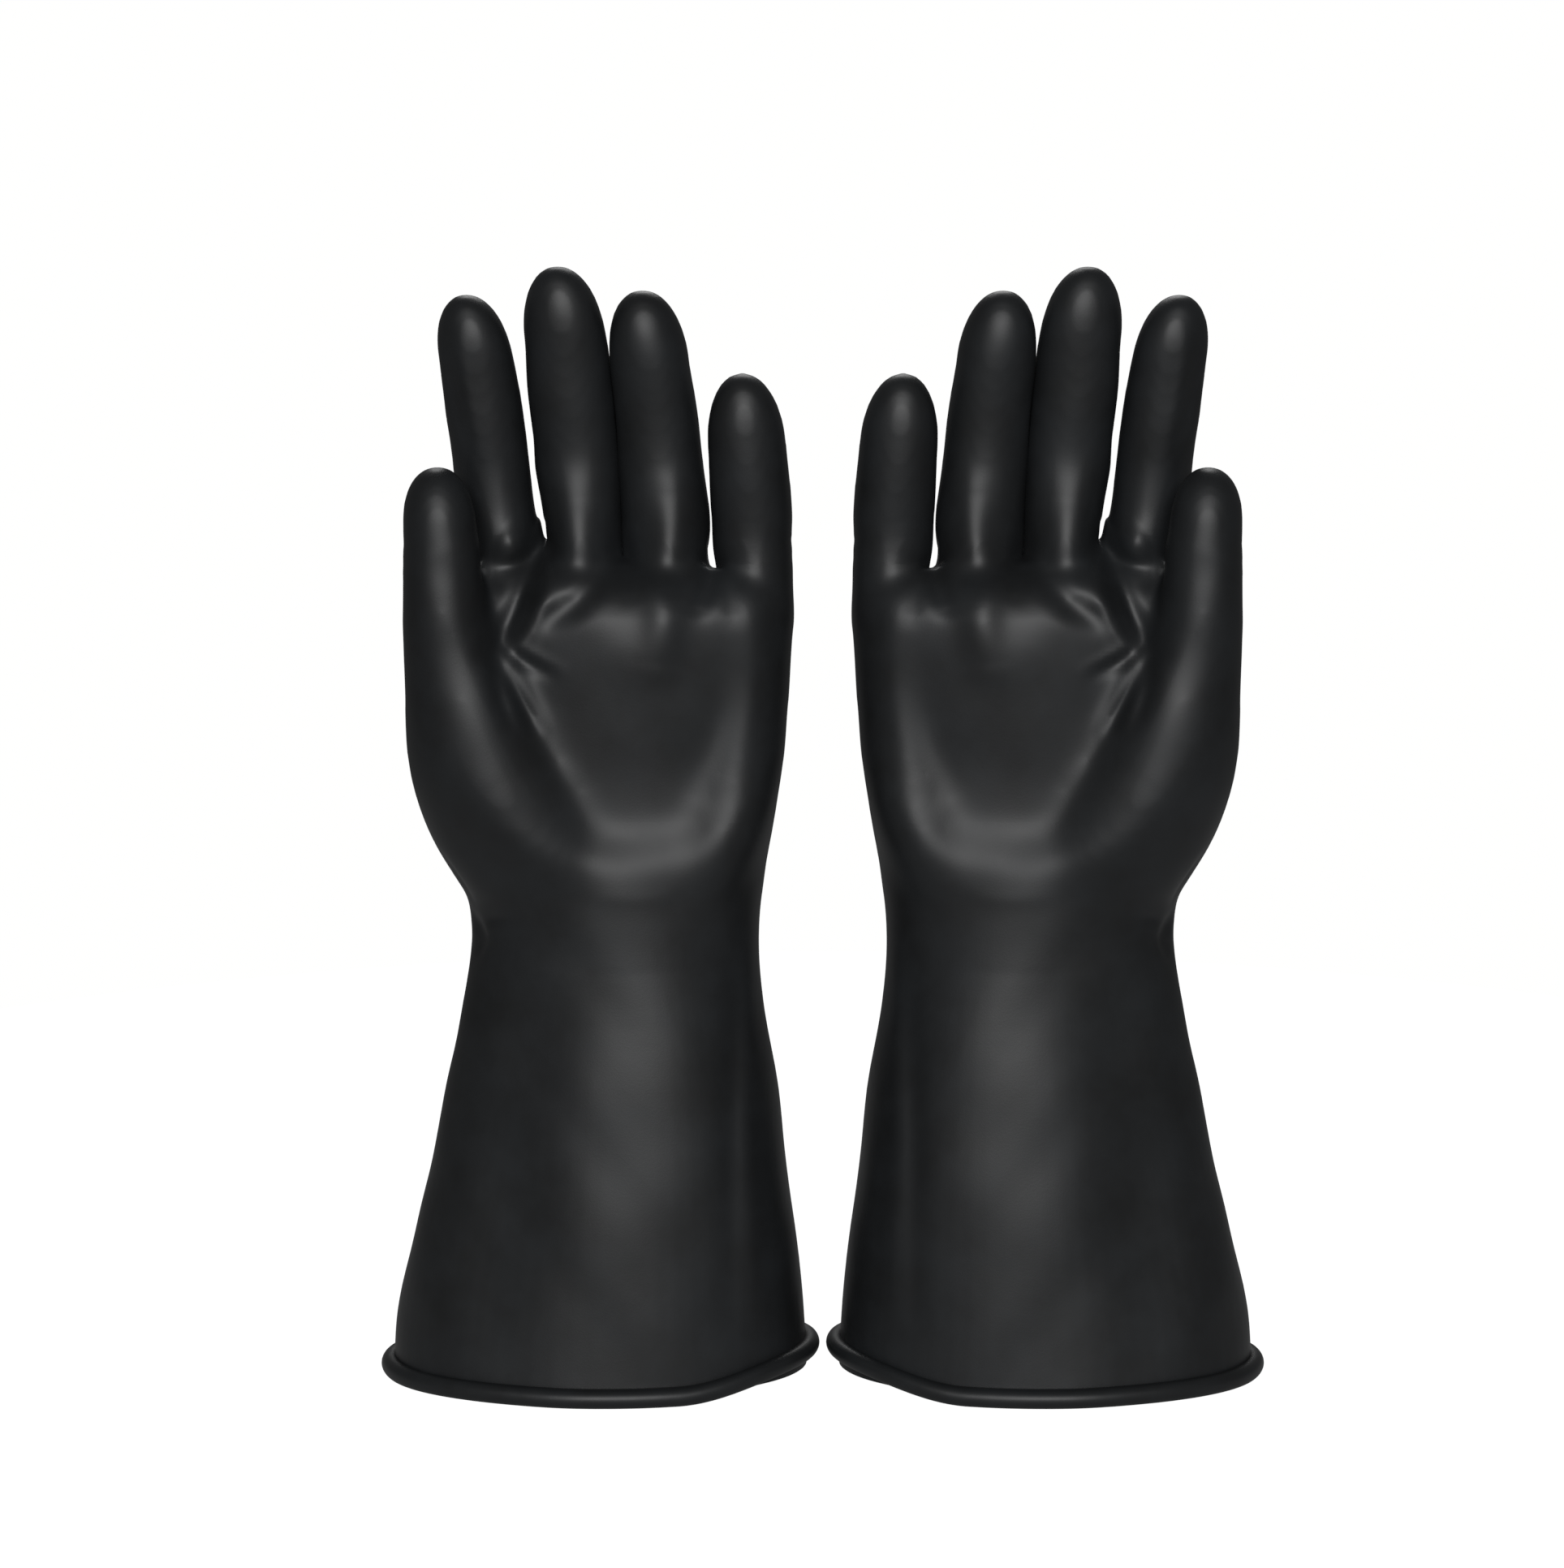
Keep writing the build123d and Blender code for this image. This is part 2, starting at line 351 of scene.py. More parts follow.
# %% Close the fingers up again, and smooth the joins
from_middles = [line_distance(points, spread_middles[digit])[0] for digit in DIGITS]
spreads = np.array([SPREAD[digit] for digit in DIGITS])
points[:, 0] -= spreads[np.argmin(from_middles, axis=0)] * spread_share(points[:, 2])
for web, rise in (((-19.0, -1.0, 268.0), 4.5), ((34.4, -1.0, 268.0), -6.0)):
    points[:, 2] += rise * around(web, radius=13.0)
z = points[:, 2]
for web in ((-18.6, 0.0, 264.0), (6.8, 0.0, 263.0), (34.2, 0.0, 256.0)):
    smooth(around(web, radius=11.0), times=10)
crotch_of_thumb = around((-34.0, -16.0, 236.0), radius=24.0)
smooth(crotch_of_thumb, times=24)
palm_and_heel = ease(z, 146.0, 160.0) * (1 - ease(z, 232.0, 252.0))
smooth(palm_and_heel, times=50)
below_fingers = ease(z, 240.0, 250.0) * (1 - ease(z, 263.0, 272.0))
smooth(below_fingers, times=24)
everywhere = np.ones(count)
smooth(everywhere, times=3)
normals = read_normals()

# %% [markdown]
# ## The bowl of the palm
# The palm is a hollow between the ball of the thumb, the heel of the hand and its outer edge. One closed line
# is the foot of the slope all round it. Outside the line the rubber rises in a slope whose width changes
# across the hand. Inside it the hollow is deepest at the heel and comes forward towards the fingers, so that
# the heel faces up to the light and the hollow faces down into the dark.

# %% Sink the bowl
BOWL = through(
    (
        (45.0, 242.0),
        (41.0, 224.0),
        (35.5, 207.0),
        (30.0, 195.0),
        (24.0, 187.5),
        (15.0, 183.5),
        (6.0, 184.0),
        (-3.0, 187.5),
        (-11.0, 194.0),
        (-15.0, 203.0),
        (-17.0, 213.0),
        (-18.0, 226.0),
        (-15.0, 240.0),
        (-4.0, 250.0),
        (20.0, 253.0),
        (38.0, 250.0),
    ),
    4,
)
BOWL_DEPTH = 3.6


def inside_line(places, line):
    """Which places lie inside a closed line."""
    inside = np.zeros(len(places), bool)
    for (x0, z0), (x1, z1) in zip(line, line[1:] + line[:1]):
        if z0 == z1:
            continue
        spans = (places[:, 1] > z0) != (places[:, 1] > z1)
        crossing = x0 + (places[:, 1] - z0) * (x1 - x0) / (z1 - z0)
        inside ^= spans & (places[:, 0] < crossing)
    return inside


seen = points[:, [0, 2]]
outside_by, _ = line_distance(seen, BOWL + BOWL[:1])
outside_by[inside_line(seen, BOWL)] = 0.0
# the slope's width at places across the hand, and the share of the full depth at heights up it
width = np.interp(points[:, 0], (-26.0, -5.0, 20.0, 45.0), (20.0, 22.0, 22.0, 12.0))
deep = np.interp(points[:, 2], (150.0, 184.0, 222.0, 250.0, 262.0), (1.0, 1.0, 0.4, 0.02, 0.0))
slope = (1 - np.clip(outside_by / width, 0.0, 1.0)) ** 1.1
points[:] -= np.outer(slope * deep * ease(normals @ PALM_SIDE, 0.1, 0.5) * BOWL_DEPTH, PALM_SIDE)
whole_palm = ease(z, 160.0, 170.0) * (1 - ease(z, 240.0, 250.0))
smooth(whole_palm, times=34)
normals = read_normals()

# %% [markdown]
# ## Pads and folds of the palm
# Ridges run along the heel and the outer edge of the hand. Each finger starts from a pad that stands
# forward, with a crease under it. The deepest fold runs from the web beside the index finger down to the
# thumb, and small wrinkles spread from there over the ball.

# %% Work the palm
HEEL = ((-36.0, 196.0), (-27.0, 183.0), (-12.0, 175.0), (8.0, 171.0), (26.0, 174.0), (38.0, 184.0))
OUTER_EDGE = ((47.5, 262.0), (49.0, 240.0), (47.0, 223.0), (42.0, 206.0), (34.0, 191.0))
stroke(HEEL, reach=9.0, depth=-1.4)
stroke(OUTER_EDGE, reach=7.0, depth=-2.2)

MIDDLE_PAD = ((-9.0, 286.0), (-8.0, 273.0), (-8.0, 264.0), (-12.0, 256.0))
UNDER_MIDDLE_PAD = ((-19.0, 249.0), (-9.0, 253.5), (4.0, 266.5))
RING_PAD = ((23.5, 288.0), (22.5, 271.0), (19.0, 262.0), (20.5, 251.0), (18.5, 236.0))
BETWEEN_PADS = ((6.6, 276.0), (7.5, 267.0), (9.0, 258.0))
stroke(MIDDLE_PAD, reach=8.0, depth=-2.4)
stroke(UNDER_MIDDLE_PAD, reach=4.2, depth=2.4)
stroke(RING_PAD, reach=6.5, depth=-2.8)
stroke(BETWEEN_PADS, reach=3.6, depth=1.6)

INDEX_PAD = ((-32.0, 275.0), (-24.5, 270.5))
UNDER_INDEX_PAD = ((-33.0, 265.5), (-26.0, 266.0), (-20.5, 271.0))
DEEPEST_FOLD = ((-19.0, 276.0), (-20.5, 268.0), (-23.5, 259.0), (-28.0, 248.5), (-33.5, 240.0))
BESIDE_FOLD = ((-15.0, 266.0), (-17.0, 257.0), (-21.5, 247.5), (-27.0, 239.0))
WITHIN_FOLD = ((-21.5, 262.0), (-24.5, 252.0), (-29.0, 243.0))
stroke(INDEX_PAD, reach=5.0, depth=-1.8)
stroke(UNDER_INDEX_PAD, reach=2.4, depth=1.6)
stroke(DEEPEST_FOLD, reach=3.8, depth=3.6)
stroke(BESIDE_FOLD, reach=3.4, depth=-1.5)
stroke(WITHIN_FOLD, reach=1.3, depth=-0.8)

for wrinkle in (
    ((-33.0, 240.0), (-28.0, 229.0), (-20.5, 215.0)),
    ((-33.5, 238.0), (-31.5, 227.0), (-28.0, 217.0)),
    ((-31.0, 241.5), (-24.0, 236.5), (-16.0, 233.0)),
):
    stroke(wrinkle, reach=2.2, depth=1.3)
    beside_wrinkle = [(a + 3.4, b + 0.8) for a, b in wrinkle]
    stroke(beside_wrinkle, reach=2.2, depth=-0.6)

BESIDE_RING_PAD = ((34.5, 270.0), (34.0, 261.0), (31.5, 254.0))
UNDER_LITTLE_FINGER = ((36.0, 262.0), (40.0, 257.0), (42.0, 250.0))
stroke(BESIDE_RING_PAD, reach=3.4, depth=3.0)
stroke(UNDER_LITTLE_FINGER, reach=3.0, depth=0.8)
normals = read_normals()

# %% [markdown]
# ## The wrist and the sleeve
# The glove has been worn in at the wrist: on the thumb's side a small pocket has buckled inwards, with a
# short crease that runs from it over the front, and a second that climbs to the ball of the thumb. The sleeve
# isn't a true oval either. It has a flat facet towards the thumb and a fuller one towards the little finger,
# where a shallow groove and a low ridge run up beside the edge.

# %% Work the wrist and the sleeve
WRIST_POCKET = ((-7.0, 152.0), (-11.0, 146.0), (-8.0, 139.0))
POCKET_CREASE = ((-41.0, 149.5), (-36.0, 152.5), (-30.0, 154.0))
CLIMBING_CREASE_SIDE = ((-10.0, 158.0), (-13.0, 165.0), (-16.0, 173.0))
CLIMBING_CREASE_FRONT = ((-41.0, 148.0), (-43.0, 158.0), (-46.0, 170.0))
stroke(WRIST_POCKET, reach=3.0, depth=1.4, side=THUMB_SIDE)
stroke(POCKET_CREASE, reach=1.6, depth=0.7)
stroke(CLIMBING_CREASE_SIDE, reach=2.0, depth=0.9, side=THUMB_SIDE)
stroke(CLIMBING_CREASE_FRONT, reach=2.0, depth=0.8)
SLEEVE_LINE = ((0.0, 8.0), (0.0, 55.0), (1.0, 100.0), (2.0, 138.0))
SLEEVE_RISE = 150.0  # over this height a line's offset changes from its low to its high value


def along_sleeve(offset_low, offset_high):
    """A line up the sleeve's front that keeps its place across the width as the sleeve narrows."""
    return [(a + offset_low + (offset_high - offset_low) * b / SLEEVE_RISE, b) for a, b in SLEEVE_LINE]


EDGE_GROOVE = ((41.0, 24.0), (40.5, 80.0), (42.5, 140.0))
EDGE_RIDGE = ((47.5, 30.0), (46.5, 88.0), (48.0, 146.0))
stroke(along_sleeve(-38.0, -26.0), reach=17.0, depth=4.0)
stroke(along_sleeve(30.0, 24.0), reach=30.0, depth=-2.6)
stroke(EDGE_GROOVE, reach=3.5, depth=0.9)
stroke(EDGE_RIDGE, reach=3.5, depth=-0.8)
normals = read_normals()

# %% [markdown]
# ## The index finger's side, and a hand-made unevenness
# Nothing dipped is perfectly even. The index finger has a long dent on its outer side, with a low ridge
# along it. A sum of a few long waves, a few tenths of a millimetre high, makes the light run unevenly over
# the rest.

# %% Dent and unevenness
DENT_SIDE = ((-8.0, 336.0), (-6.0, 320.0), (-3.0, 300.0))
DENT_FRONT = ((-47.5, 338.0), (-45.5, 322.0), (-41.5, 303.0))
BESIDE_DENT = ((-44.0, 336.0), (-42.0, 321.0), (-38.5, 303.0))
stroke(DENT_SIDE, reach=3.4, depth=1.5, side=THUMB_SIDE)
stroke(DENT_FRONT, reach=2.6, depth=1.3)
stroke(BESIDE_DENT, reach=2.6, depth=-0.6)
normals = read_normals()
WAVES = (  # radians per millimetre along x, y and z, then the shift in radians and the height in millimetres
    ((0.11, 0.05, 0.06), 0.3, 0.22),
    ((-0.06, 0.13, 0.10), 1.7, 0.18),
    ((0.16, -0.09, 0.13), 4.1, 0.10),
    ((0.05, 0.21, -0.19), 2.6, 0.05),
    ((0.29, 0.02, 0.24), 5.3, 0.03),
)
bumpy = sum(height * np.sin(points @ np.array(wave) + shift) for wave, shift, height in WAVES)
points[:] += bumpy[:, None] * normals
smooth(everywhere, times=1)

# %% [markdown]
# ## Opening the cuff
# The skin is cut open at the height of the roll's middle. The rolled edge isn't quite level: it rises at the
# little finger's end, where the cuff has sprung up, and both the sleeve and the roll follow one function.

# %% Cut the cuff open
ROLL_RADIUS = 3.3
ROLL_HEIGHT = 3.1  # height of the roll's middle where the cuff stands
ROLL_OUT = 0.9  # how far the middle of the roll lies outside the sleeve
CUFF_LIFT = 6.4  # how far the cuff has sprung up at the little finger's end


def lift(x):
    """How far the edge of the cuff has sprung up, in mm, at a place across the glove."""
    return CUFF_LIFT * ease(x, 24.0, 70.0)


low_down = 1 - ease(points[:, 2], 5.0, 60.0)
points[:, 2] += lift(points[:, 0]) * low_down
read_normals()  # for the last time, to put the moved points into the skin
work = bmesh.new()
work.from_mesh(skin)
everything = work.verts[:] + work.edges[:] + work.faces[:]
bmesh.ops.bisect_plane(
    work, geom=everything, plane_co=place(0, 0, ROLL_HEIGHT), plane_no=(0, 0, -1), clear_outer=True
)
print("the open skin has", len(work.verts), "points")

# %% [markdown]
# ## Cutting between the bends
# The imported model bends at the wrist, at the root of each digit and at its crease. A piece can turn smoothly
# from one body to the next, so the skin is cut between two bends, where it doesn't turn at all. The pieces
# keep the normals of the whole skin, so no line shows where they meet.

# %% Where each digit runs, and where it is cut
HAND_CUT = 185.0  # height of the cut between the sleeve with the heel of the hand, and the rest of the hand
ROOT_CUT = {"thumb": 4.0, "index": 5.0, "middle": 5.0, "ring": 6.0, "little": 6.0}  # above the hinge
CREASE_CUT = 0.62  # share of the way from the root's hinge to the crease's
REACH = 17.0  # nothing further than this from a digit's middle line belongs to it
CUT_ZONE = 4.0  # only faces this near to a cut are cut

digit_lines = {}
for digit in DIGITS:
    root = Vector(JOINTS[f"left_{digit}_root"]["pos_m"]) / MM
    crease = Vector(JOINTS[f"left_{digit}_crease"]["pos_m"]) / MM
    along = (crease - root).normalized()
    low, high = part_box(f"left_{digit}_base")
    middle = (low + high) / 2 / MM
    digit_lines[digit] = (middle - along * (middle - root).dot(along), along, (crease - root).length)


def digit_places(places):
    """For each place: the nearest digit's number, the distance from its middle line, and how far up it."""
    offs, ups = [], []
    for digit in DIGITS:
        start, along, _ = digit_lines[digit]
        from_start = places - np.array(start)
        up = from_start @ np.array(along)
        offs.append(np.linalg.norm(from_start - np.outer(up, along), axis=1))
        ups.append(up)
    nearest = np.argmin(offs, axis=0)
    rows = np.arange(len(places))
    return nearest, np.array(offs)[nearest, rows], np.array(ups)[nearest, rows]


def face_centres(bm):
    """The middle of each face, in millimetres."""
    return np.array([face.calc_center_median()[:] for face in bm.faces]) / MM


def cut(bm, chosen, spot, direction):
    """Cuts the chosen faces along a plane."""
    bm.faces.ensure_lookup_table()
    faces = [bm.faces[i] for i in np.nonzero(chosen)[0]]
    edges = list({edge for face in faces for edge in face.edges})
    verts = list({vert for face in faces for vert in face.verts})
    bmesh.ops.bisect_plane(bm, geom=verts + edges + faces, plane_co=spot * MM, plane_no=direction)


cuts = {}
for number, digit in enumerate(DIGITS):
    start, along, length = digit_lines[digit]
    cuts[digit] = (ROOT_CUT[digit], CREASE_CUT * length)
    for height in cuts[digit]:
        nearest, off, up = digit_places(face_centres(work))
        chosen = (nearest == number) & (off < REACH) & (abs(up - height) < CUT_ZONE)
        cut(work, chosen, start + along * height, along)
chosen = abs(face_centres(work)[:, 2] - HAND_CUT) < CUT_ZONE
cut(work, chosen, Vector((0, 0, HAND_CUT)), Vector((0, 0, 1)))

# %% Mark every face with its section, and keep the whole skin's normals
SECTIONS = ["gauntlet", "hand"] + [f"{digit}_{part}" for digit in DIGITS for part in ("base", "tip")]
centres = face_centres(work)
nearest, off, up = digit_places(centres)
section_of = np.where(centres[:, 2] < HAND_CUT, 0, 1)
for number, digit in enumerate(DIGITS):
    low_cut, high_cut = cuts[digit]
    mine = (nearest == number) & (off < REACH)
    section_of[mine & (up > low_cut)] = 2 + 2 * number
    section_of[mine & (up > high_cut)] = 3 + 2 * number

work.normal_update()
section_layer = work.faces.layers.int.new("section")
for face, section in zip(work.faces, section_of):
    face[section_layer] = int(section)
normal_layer = work.verts.layers.float_vector.new("whole_normal")
for vert in work.verts:
    vert[normal_layer] = vert.normal
whole = bpy.data.meshes.new("whole_skin")
work.to_mesh(whole)
work.free()
print({name: int((section_of == i).sum()) for i, name in enumerate(SECTIONS)})

# %% [markdown]
# ## The wall, and the two gloves
# The Solidify modifier would make the wall too, but it throws spikes at the sharp folds. So each piece is
# copied, every copied point is moved inwards along the whole skin's normal, and the rims are closed. The
# right glove's pieces are the left one's, mirrored, with their faces turned back outwards.

# %% Make a section for one side
CLEARLY = 0.3  # the cosine past which a face clearly points the way of the kept normal, or the opposite way


def set_normals(made, flip):
    """Lights the outside by the kept normals, the inside by their opposite, and the rims by their own."""
    mesh = made.data
    kept = np.empty(len(mesh.vertices) * 3, np.float32)
    mesh.attributes["whole_normal"].data.foreach_get("vector", kept)
    kept = kept.reshape(-1, 3) * (flip, 1.0, 1.0)
    of_vertex = np.empty(len(mesh.loops), int)
    mesh.loops.foreach_get("vertex_index", of_vertex)
    of_face = np.empty(len(mesh.polygons) * 3, np.float32)
    mesh.polygons.foreach_get("normal", of_face)
    sizes = np.empty(len(mesh.polygons), int)
    mesh.polygons.foreach_get("loop_total", sizes)
    of_face = np.repeat(of_face.reshape(-1, 3), sizes, axis=0)
    kept = kept[of_vertex]
    facing = (kept * of_face).sum(axis=1)[:, None]
    lit = np.where(facing > CLEARLY, kept, np.where(facing < -CLEARLY, -kept, of_face))
    mesh.shade_smooth()
    mesh.normals_split_custom_set(lit.tolist())
    mesh.attributes.remove(mesh.attributes["whole_normal"])
    mesh.attributes.remove(mesh.attributes["section"])


def add_wall(bm):
    """Copies the skin inwards by the wall's thickness, and closes the rims between the two."""
    normal_layer = bm.verts.layers.float_vector["whole_normal"]
    rims = [edge for edge in bm.edges if edge.is_boundary]
    copied = bmesh.ops.duplicate(bm, geom=bm.verts[:] + bm.edges[:] + bm.faces[:])
    inner = copied["vert_map"]
    for item in copied["geom"]:
        if isinstance(item, bmesh.types.BMVert):
            item.co -= item[normal_layer] * (WALL * MM)
    faces = [item for item in copied["geom"] if isinstance(item, bmesh.types.BMFace)]
    bmesh.ops.reverse_faces(bm, faces=faces)
    for edge in rims:
        loop = edge.link_loops[0]
        a, b = loop.vert, loop.link_loop_next.vert
        bm.faces.new((b, a, inner[a], inner[b]))


def make_section(section, side):
    """One section of one glove, as an object."""
    bm = bmesh.new()
    bm.from_mesh(whole)
    layer = bm.faces.layers.int["section"]
    number = SECTIONS.index(section)
    bmesh.ops.delete(bm, geom=[face for face in bm.faces if face[layer] != number], context="FACES")
    add_wall(bm)
    if side == "right":
        bmesh.ops.scale(bm, vec=(-1.0, 1.0, 1.0), verts=bm.verts)
        bmesh.ops.reverse_faces(bm, faces=bm.faces)
    bm.normal_update()
    made = as_object(bm, f"{side}_{section}_skin")
    set_normals(made, -1.0 if side == "right" else 1.0)
    return made


# %% [markdown]
# ## The rolled edge
# The edge of the cuff was rolled outwards on itself while the rubber was soft, which leaves a round bead
# with a fine groove where the roll meets the sleeve. It is a circle spun into a ring, whose points are then
# laid round the sleeve's own outline.

# %% The roll
ROLL_STEPS = 240
ROLL_SEGMENTS = 28
FLAT_BELOW = 0.3  # the roll is pressed flat under this height, where the glove stands on it
outline = np.array([vert.co[:] for vert in whole.vertices]) / MM - np.array((GLOVE_X, 0.0, 0.0))
outline = outline[outline[:, 2] < ROLL_HEIGHT + 0.01]
CUFF_MIDDLE = np.array((-2.2, 0.5))
outline_angles = np.arctan2(outline[:, 1] - CUFF_MIDDLE[1], outline[:, 0] - CUFF_MIDDLE[0])
order = np.argsort(outline_angles)
outline_angles = outline_angles[order]
outline_radii = np.linalg.norm(outline[:, :2] - CUFF_MIDDLE, axis=1)[order]


def make_roll(side):
    """The rolled edge of one cuff, as an object."""
    bm = bmesh.new()
    stand_off = Matrix.Translation((1.0, 0.0, 0.0)) @ Matrix.Rotation(pi / 2, 4, "X")  # a metre off the axis
    ring = bmesh.ops.create_circle(bm, radius=ROLL_RADIUS * MM, segments=ROLL_SEGMENTS, matrix=stand_off)
    edges = list({edge for vert in ring["verts"] for edge in vert.link_edges})
    bmesh.ops.spin(
        bm,
        geom=ring["verts"] + edges,
        cent=(0, 0, 0),
        axis=(0, 0, 1),
        angle=2 * pi,
        steps=ROLL_STEPS,
        use_merge=True,
    )
    for vert in bm.verts:
        angle = atan2(vert.co.y, vert.co.x)
        outwards = (hypot(vert.co.x, vert.co.y) - 1.0) / MM
        height = max(vert.co.z / MM, FLAT_BELOW - ROLL_HEIGHT)
        radius = np.interp(angle, outline_angles, outline_radii, period=2 * pi) + outwards + ROLL_OUT
        cuff_x, cuff_y = CUFF_MIDDLE + radius * np.array((cos(angle), sin(angle)))
        vert.co = place(cuff_x, cuff_y, ROLL_HEIGHT + height + lift(cuff_x))
    if side == "right":
        bmesh.ops.scale(bm, vec=(-1.0, 1.0, 1.0), verts=bm.verts)
    bmesh.ops.recalc_face_normals(bm, faces=bm.faces)
    for face in bm.faces:
        face.smooth = True
    return as_object(bm, f"{side}_rolled_edge")


# %% [markdown]
# ## Natural rubber, dipped and cured
# The rubber is black through and through, with carbon black in it. Its skin is satin, not glossy: it takes
# the light in broad soft patches. Seen close, it has a fine grain, and two blacks that drift into each other.

# %% The material


def linear(hex_colour):
    """An sRGB hex colour as the linear values that a shader takes."""
    values = [int(hex_colour[i : i + 2], 16) / 255 for i in (1, 3, 5)]
    return [v / 12.92 if v <= 0.04045 else ((v + 0.055) / 1.055) ** 2.4 for v in values] + [1.0]


def add_node(tree, kind, settings=None, inputs=None):
    """Adds a node with its settings, and sets each input to a value or links it to another node's output."""
    node = tree.nodes.new(kind)
    for name, value in (settings or {}).items():
        setattr(node, name, value)
    for name, value in (inputs or {}).items():
        if isinstance(value, bpy.types.NodeSocket):
            tree.links.new(value, node.inputs[name])
        else:
            node.inputs[name].default_value = value
    return node


PER_METRE = 1000.0  # a noise of this scale has one feature in each millimetre
PATCH = 22.0  # millimetres from one patch of tone to the next
GRAIN = 0.7  # millimetres from grain to grain, coarser than the real grain so that it shows


def dipped_rubber(name, dark, pale, roughness):
    """Black dipped rubber: two tones in soft patches, and a satin skin with a fine grain."""
    material = bpy.data.materials.new(name)
    material.use_nodes = True
    tree = material.node_tree
    shader = tree.nodes["Principled BSDF"]
    shader.inputs["IOR"].default_value = 1.5
    shader.inputs["Specular IOR Level"].default_value = 0.34
    at = add_node(tree, "ShaderNodeTexCoord").outputs["Object"]
    patches = add_node(
        tree,
        "ShaderNodeTexNoise",
        inputs={"Vector": at, "Scale": PER_METRE / PATCH, "Detail": 4.0, "Roughness": 0.55},
    )
    tones = add_node(tree, "ShaderNodeValToRGB", inputs={"Fac": patches.outputs["Fac"]})
    tones.color_ramp.elements[0].position = 0.32
    tones.color_ramp.elements[0].color = linear(dark)
    tones.color_ramp.elements[1].position = 0.70
    tones.color_ramp.elements[1].color = linear(pale)
    tree.links.new(tones.outputs["Color"], shader.inputs["Base Color"])
    satin = add_node(
        tree,
        "ShaderNodeMapRange",
        inputs={"Value": patches.outputs["Fac"], "To Min": roughness - 0.05, "To Max": roughness + 0.06},
    )
    tree.links.new(satin.outputs["Result"], shader.inputs["Roughness"])
    grain = add_node(
        tree,
        "ShaderNodeTexNoise",
        inputs={"Vector": at, "Scale": PER_METRE / GRAIN, "Detail": 3.0, "Roughness": 0.6},
    )
    fine = add_node(
        tree,
        "ShaderNodeBump",
        inputs={"Height": grain.outputs["Fac"], "Strength": 0.16, "Distance": 0.1 * MM},
    )
    tree.links.new(fine.outputs["Normal"], shader.inputs["Normal"])
    return material


RUBBER = dipped_rubber("dipped_natural_rubber", "#151617", "#1c1e20", 0.46)
ROLLED = dipped_rubber("rolled_natural_rubber", "#151617", "#1b1d1f", 0.44)

# %% [markdown]
# ## Both gloves
# The hand's section rides on the hand's body and the roll on the gauntlet's. The gauntlet's and the digits'
# sections stay in the frame with no parent. For each of these, the two ends of its span across a hinge are
# worked out, along the digit or up the wrist, and are not used.

# %% Make both gloves
WRIST_BEND = (124.0, 172.0)  # two heights at the wrist, made into two points below that are not used
HAND_NODES = ("palm", "knuckles")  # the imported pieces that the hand's one section stands for


def mirrored(point, side):
    """A point of the left glove, or the point that stands for it on the right one."""
    return Vector((-point.x if side == "right" else point.x, point.y, point.z))


for side in ("left", "right"):
    for section in SECTIONS:
        made = make_section(section, side)
        made.data.materials.append(RUBBER)
        if section == "gauntlet":
            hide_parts(f"{side}_gauntlet")
            low, high = (Vector((0, 0, height)) * MM for height in WRIST_BEND)
            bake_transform(made)
        elif section == "hand":
            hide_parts(*(f"{side}_{name}" for name in HAND_NODES))
            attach(made, f"{side}_hand")
        else:
            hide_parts(f"{side}_{section}")
            digit, part = section.split("_")
            start, along, length = digit_lines[digit]
            low_cut, high_cut = cuts[digit]
            if part == "base":
                ends = (low_cut, high_cut)
            else:
                ends = (high_cut, 2 * length - high_cut)
            low, high = (mirrored(start + along * end, side) * MM for end in ends)
            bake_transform(made)
    roll = make_roll(side)
    roll.data.materials.append(ROLLED)
    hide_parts(f"{side}_cuff_bead")
    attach(roll, f"{side}_gauntlet")

# %% [markdown]
# ## The studio
# The gloves stand on a round table under white paper, in front of a white background. Black rubber shows its
# form only by what it mirrors, so one large soft light stands in front, above the camera, and the rest of
# the room is dim: surfaces that face up a little are bright, and surfaces that face down stay dark. The paper
# and the background show as plain white to the camera, and give the gloves only a fraction of that light.

# %% Table and background
TABLE_RADIUS = 0.56
TABLE_MIDDLE = (0.0, 0.16, 0.0)  # it reaches further behind the gloves than in front of them
FLOOR_LIGHT = 0.2  # how brightly the paper shines on the gloves, where the camera sees 1
ROOM_LIGHT = 0.12  # the same for the background

bm = bmesh.new()
table_at = Matrix.Translation(TABLE_MIDDLE)
bmesh.ops.create_circle(bm, cap_ends=True, radius=TABLE_RADIUS, segments=128, matrix=table_at)
table = as_object(bm, "table_top")
paper = bpy.data.materials.new("white_paper")
paper.use_nodes = True
seen_paper = add_node(paper.node_tree, "ShaderNodeLightPath").outputs["Is Camera Ray"]
paper_light = add_node(
    paper.node_tree, "ShaderNodeMapRange", inputs={"Value": seen_paper, "To Min": FLOOR_LIGHT, "To Max": 1.0}
)
paper_shader = paper.node_tree.nodes["Principled BSDF"]
paper_shader.inputs["Base Color"].default_value = linear("#5a5a5a")
paper_shader.inputs["Roughness"].default_value = 0.9
paper_shader.inputs["Emission Color"].default_value = linear("#ffffff")
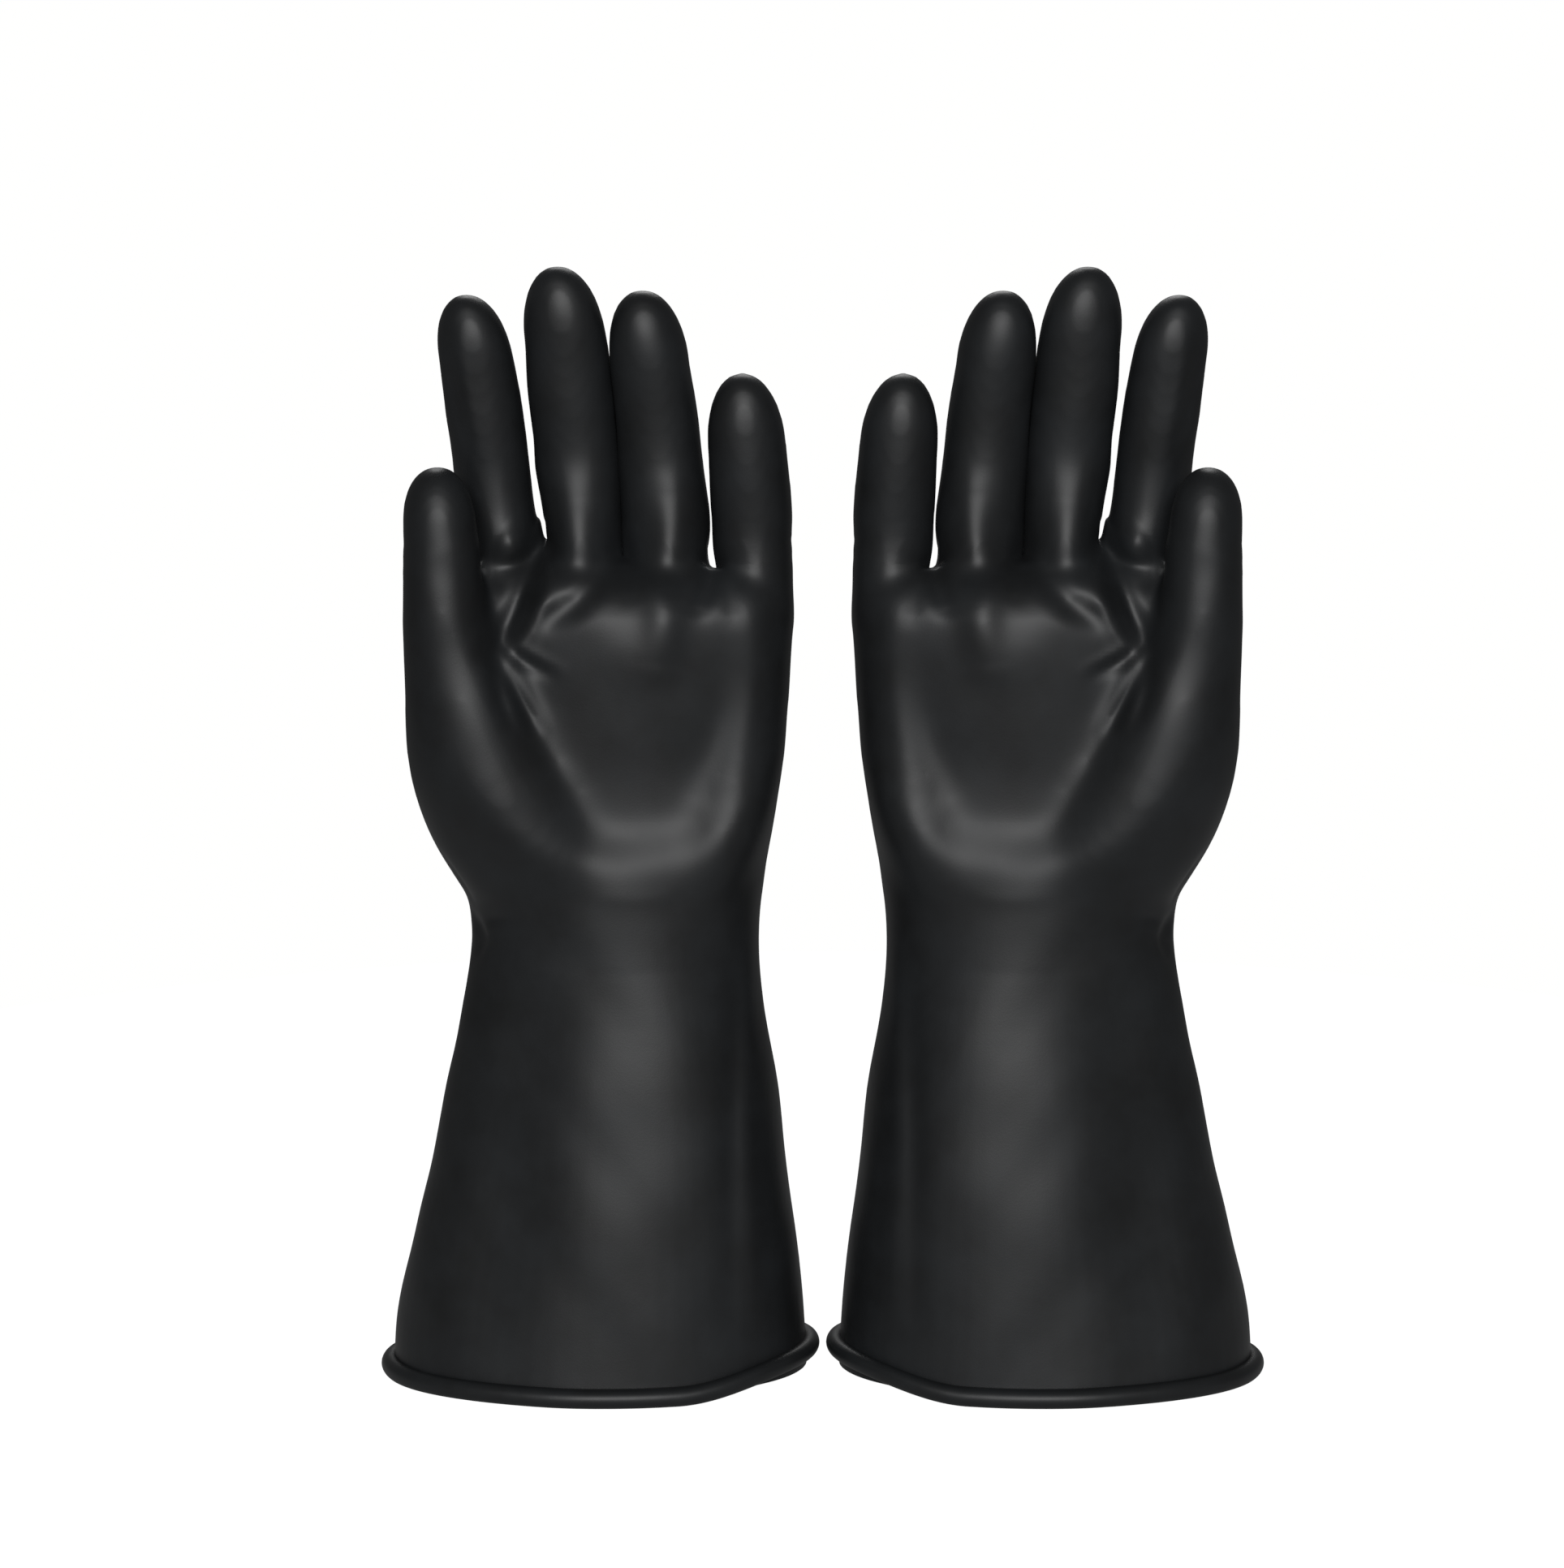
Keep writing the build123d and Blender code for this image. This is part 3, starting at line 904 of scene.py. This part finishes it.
paper.node_tree.links.new(paper_light.outputs["Result"], paper_shader.inputs["Emission Strength"])
table.data.materials.append(paper)

world = bpy.data.worlds.new("studio")
bpy.context.scene.world = world
world.use_nodes = True
room = world.node_tree
seen_room = add_node(room, "ShaderNodeLightPath").outputs["Is Camera Ray"]
brightness = add_node(
    room, "ShaderNodeMapRange", inputs={"Value": seen_room, "To Min": ROOM_LIGHT, "To Max": 1.0}
)
room.nodes["Background"].inputs["Color"].default_value = (1.0, 1.0, 0.995, 1.0)
room.links.new(brightness.outputs["Result"], room.nodes["Background"].inputs["Strength"])

# %% Lights and camera
HEART = Vector((0.0, 0.0, 0.2))  # the lights point here


def softbox(name, azimuth, elevation, distance, width, height, energy):
    """A rectangular soft light that faces the gloves, in metres, degrees and watts. Azimuth 0 is in front."""
    light = bpy.data.lights.new(name, "AREA")
    light.shape = "RECTANGLE"
    light.size, light.size_y = width, height
    light.energy = energy
    lamp = bpy.data.objects.new(name, light)
    a, e = radians(azimuth), radians(elevation)
    lamp.location = HEART + Vector((sin(a) * cos(e), -cos(a) * cos(e), sin(e))) * distance
    lamp.rotation_euler = (HEART - lamp.location).to_track_quat("-Z", "Y").to_euler()
    bpy.context.scene.collection.objects.link(lamp)


softbox("key_light", azimuth=0.0, elevation=16.0, distance=1.8, width=1.2, height=0.6, energy=27.0)
softbox("back_light", azimuth=180.0, elevation=45.0, distance=2.0, width=1.0, height=1.0, energy=14.0)

LOOK_AT = Vector((0.0, 0.0, 0.1935))
CAMERA_DISTANCE = 1.6
CAMERA_RISE = radians(9.0)
camera = bpy.data.objects.new("camera", bpy.data.cameras.new("camera"))
camera.location = LOOK_AT + Vector((0.0, -cos(CAMERA_RISE), sin(CAMERA_RISE))) * CAMERA_DISTANCE
camera.rotation_euler = (LOOK_AT - camera.location).to_track_quat("-Z", "Y").to_euler()
camera.data.lens = 114.8
camera.data.shift_x = -0.026  # the gloves stand a little right of the frame's middle
bpy.context.scene.collection.objects.link(camera)
bpy.context.scene.camera = camera
bpy.context.scene.view_settings.view_transform = "Standard"
